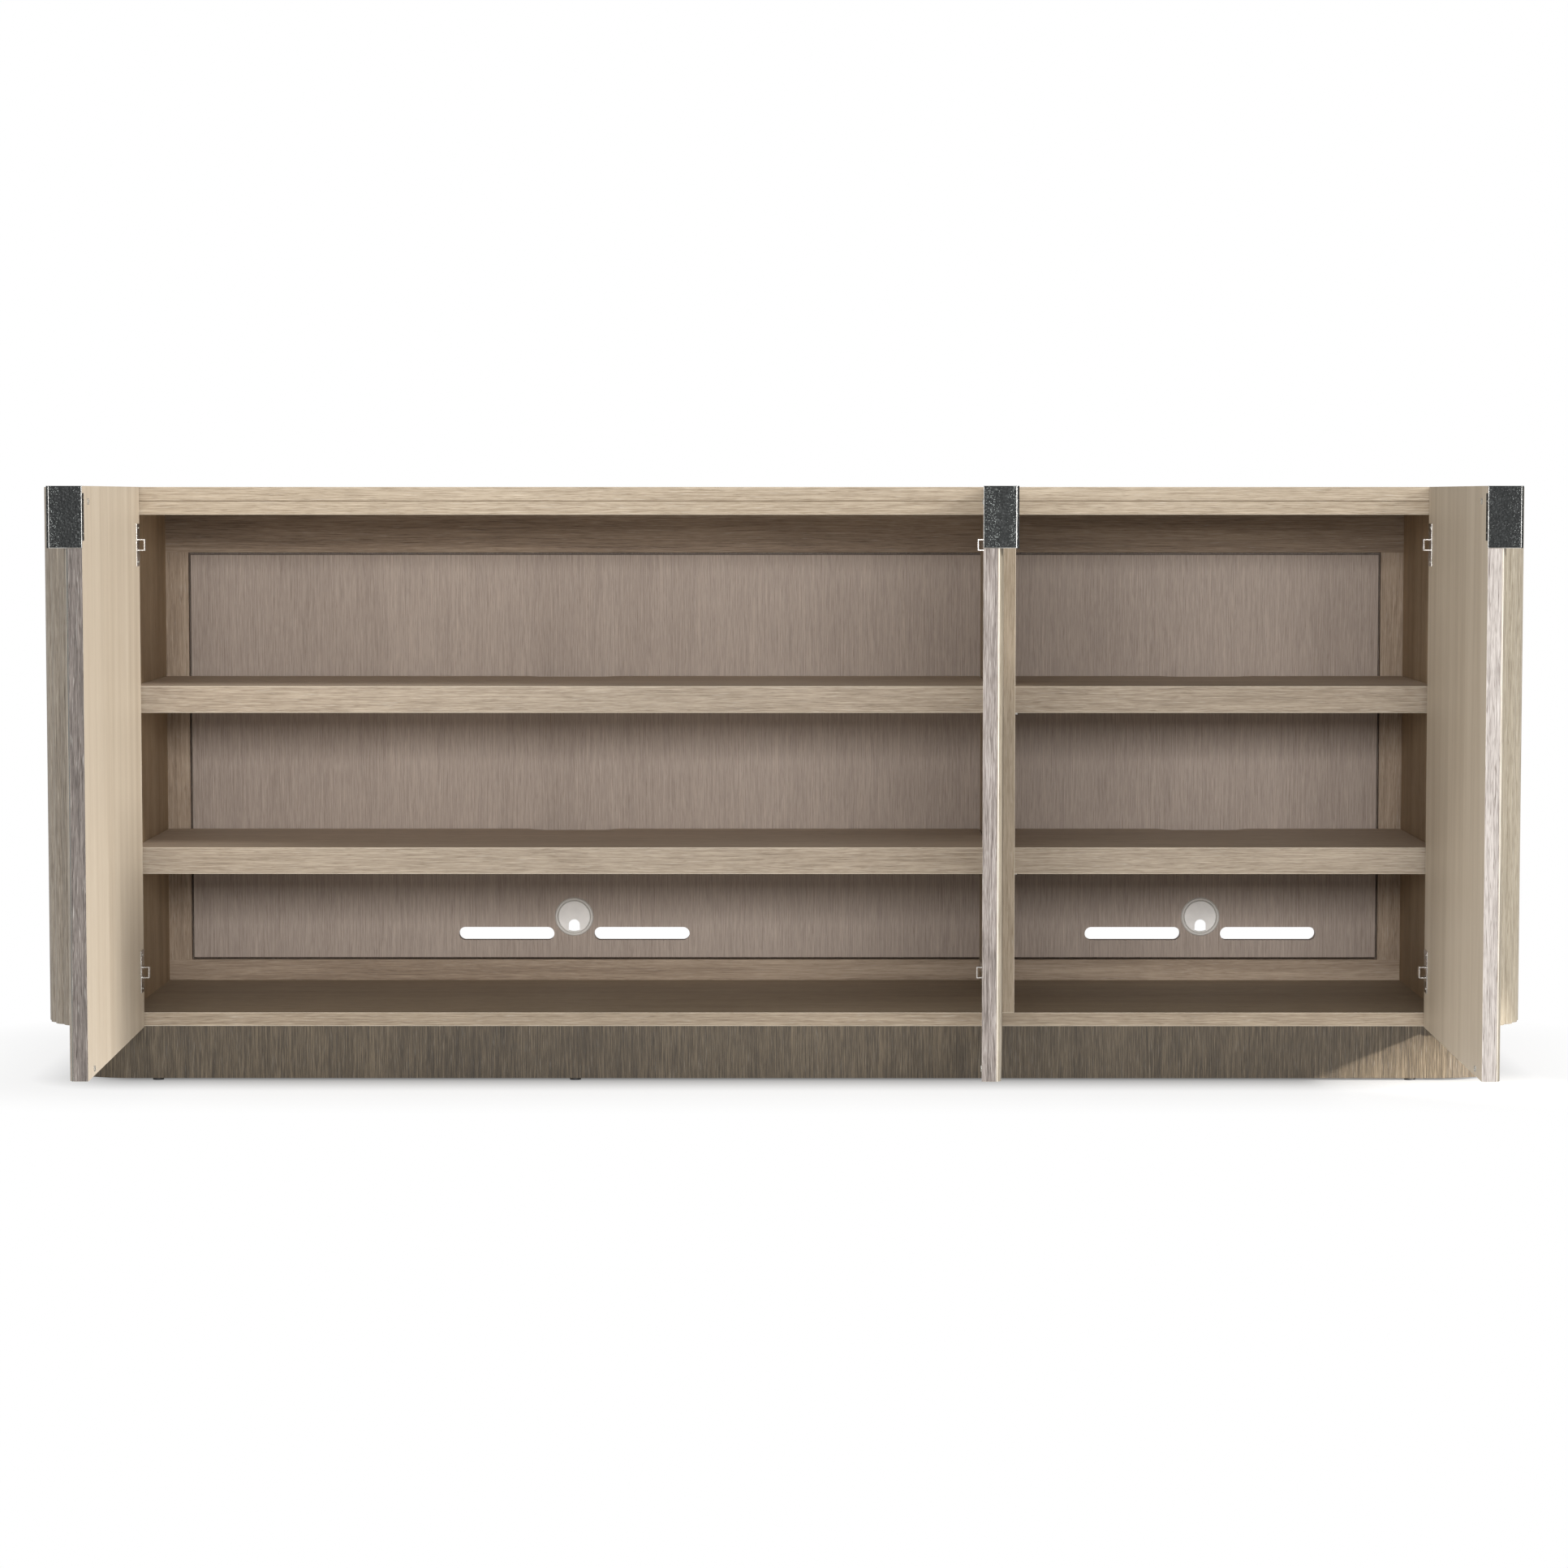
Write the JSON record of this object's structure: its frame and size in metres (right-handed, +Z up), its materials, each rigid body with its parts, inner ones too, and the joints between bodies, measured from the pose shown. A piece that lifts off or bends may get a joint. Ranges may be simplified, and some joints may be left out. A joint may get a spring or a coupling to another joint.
{
  "type": "media cabinet",
  "caption": "Long low media cabinet with fluted doors and rounded fluted ends, shelves, a plinth, cable slots and turning cable grommets.",
  "frame": {"origin": "on the floor, under the middle foot, at the centre of the case's footprint", "axes": "+X along the cabinet to the viewer's right, +Y from the doors to the back, +Z up"},
  "size_m": [2.134, 1.1094, 0.85],
  "materials": {
    "oak_case": "light oak veneer, satin",
    "oak_shelf": "light oak veneer, satin, grain along the shelf",
    "oak_door": "light oak veneer, satin, upright grain",
    "oak_fluted": "greyed oak, reeded, upright grain",
    "oak_back": "greyed oak veneer, satin",
    "oak_plinth": "dark bronzed oak, upright grain",
    "graphite_steel": "dark graphite, hammered",
    "nickel": "nickel plated",
    "zinc_screw": "zinc plated",
    "grommet_silver": "silver grey plastic",
    "grommet_cap": "pale grey plastic",
    "black_nylon": "nylon",
    "clear_rubber": "clear soft plastic"
  },
  "bodies": {
    "case": {"top_panel": "oak_case", "sub_top": "oak_case", "bottom_panel": "oak_case", "side_wall_left": "oak_case", "side_wall_right": "oak_case", "centre_divider": "oak_case", "fluted_corner_left": "oak_fluted", "fluted_corner_right": "oak_fluted", "fluted_side_left": "oak_fluted", "fluted_side_right": "oak_fluted", "end_ribs": "oak_case", "back_rail_bottom": "oak_back", "back_rail_top": "oak_back", "back_stile_left": "oak_back", "back_stile_right": "oak_back", "back_panel": "oak_back", "back_screws": "zinc_screw", "plinth_front": "oak_plinth", "plinth_back": "oak_plinth", "plinth_side_left": "oak_plinth", "plinth_side_right": "oak_plinth", "plinth_corner_left": "oak_plinth", "plinth_corner_right": "oak_plinth", "plinth_cross_rails": "oak_plinth", "feet": "black_nylon", "shelf_upper_left": "oak_shelf", "shelf_lower_left": "oak_shelf", "shelf_upper_right": "oak_shelf", "shelf_lower_right": "oak_shelf", "shelf_pins": "nickel", "grommet_rings": "grommet_silver", "hinge_arms": "nickel", "hinge_plates": "nickel", "hinge_plate_screws": "zinc_screw"},
    "door_left": {"door_left_panel": "oak_door", "door_left_facing": "oak_fluted", "door_left_pull": "graphite_steel", "door_left_screws": "zinc_screw", "door_left_hinge_cups": "nickel", "door_left_hinge_pins": "nickel", "door_left_bumpers": "clear_rubber"},
    "door_middle": {"door_middle_panel": "oak_door", "door_middle_facing": "oak_fluted", "door_middle_pull": "graphite_steel", "door_middle_screws": "zinc_screw", "door_middle_hinge_cups": "nickel", "door_middle_hinge_pins": "nickel", "door_middle_bumpers": "clear_rubber"},
    "door_right": {"door_right_panel": "oak_door", "door_right_facing": "oak_fluted", "door_right_pull": "graphite_steel", "door_right_screws": "zinc_screw", "door_right_hinge_cups": "nickel", "door_right_hinge_pins": "nickel", "door_right_bumpers": "clear_rubber"},
    "cap_left": {"grommet_cap_left": "grommet_cap"},
    "cap_right": {"grommet_cap_right": "grommet_cap"}
  },
  "joints": [
    {"name": "left_door_swing", "type": "hinge", "parent": "case", "child": "door_left", "pos_m": [-0.929, -0.255, 0.46425], "axis": [0, 0, 1], "range_deg": [-6.3, 88.7]},
    {"name": "middle_door_swing", "type": "hinge", "parent": "case", "child": "door_middle", "pos_m": [0.30033, -0.255, 0.46425], "axis": [0, 0, 1], "range_deg": [-87.2, 2.8]},
    {"name": "right_door_swing", "type": "hinge", "parent": "case", "child": "door_right", "pos_m": [0.929, -0.255, 0.46425], "axis": [0, 0, 1], "range_deg": [-89.1, 5.9]},
    {"name": "left_cap_turn", "type": "hinge", "parent": "case", "child": "cap_left", "pos_m": [-0.32158, 0.2035, 0.1954], "axis": [0, 1, 0], "continuous": true},
    {"name": "right_cap_turn", "type": "hinge", "parent": "case", "child": "cap_right", "pos_m": [0.63592, 0.2035, 0.1954], "axis": [0, 1, 0], "continuous": true}
  ]
}
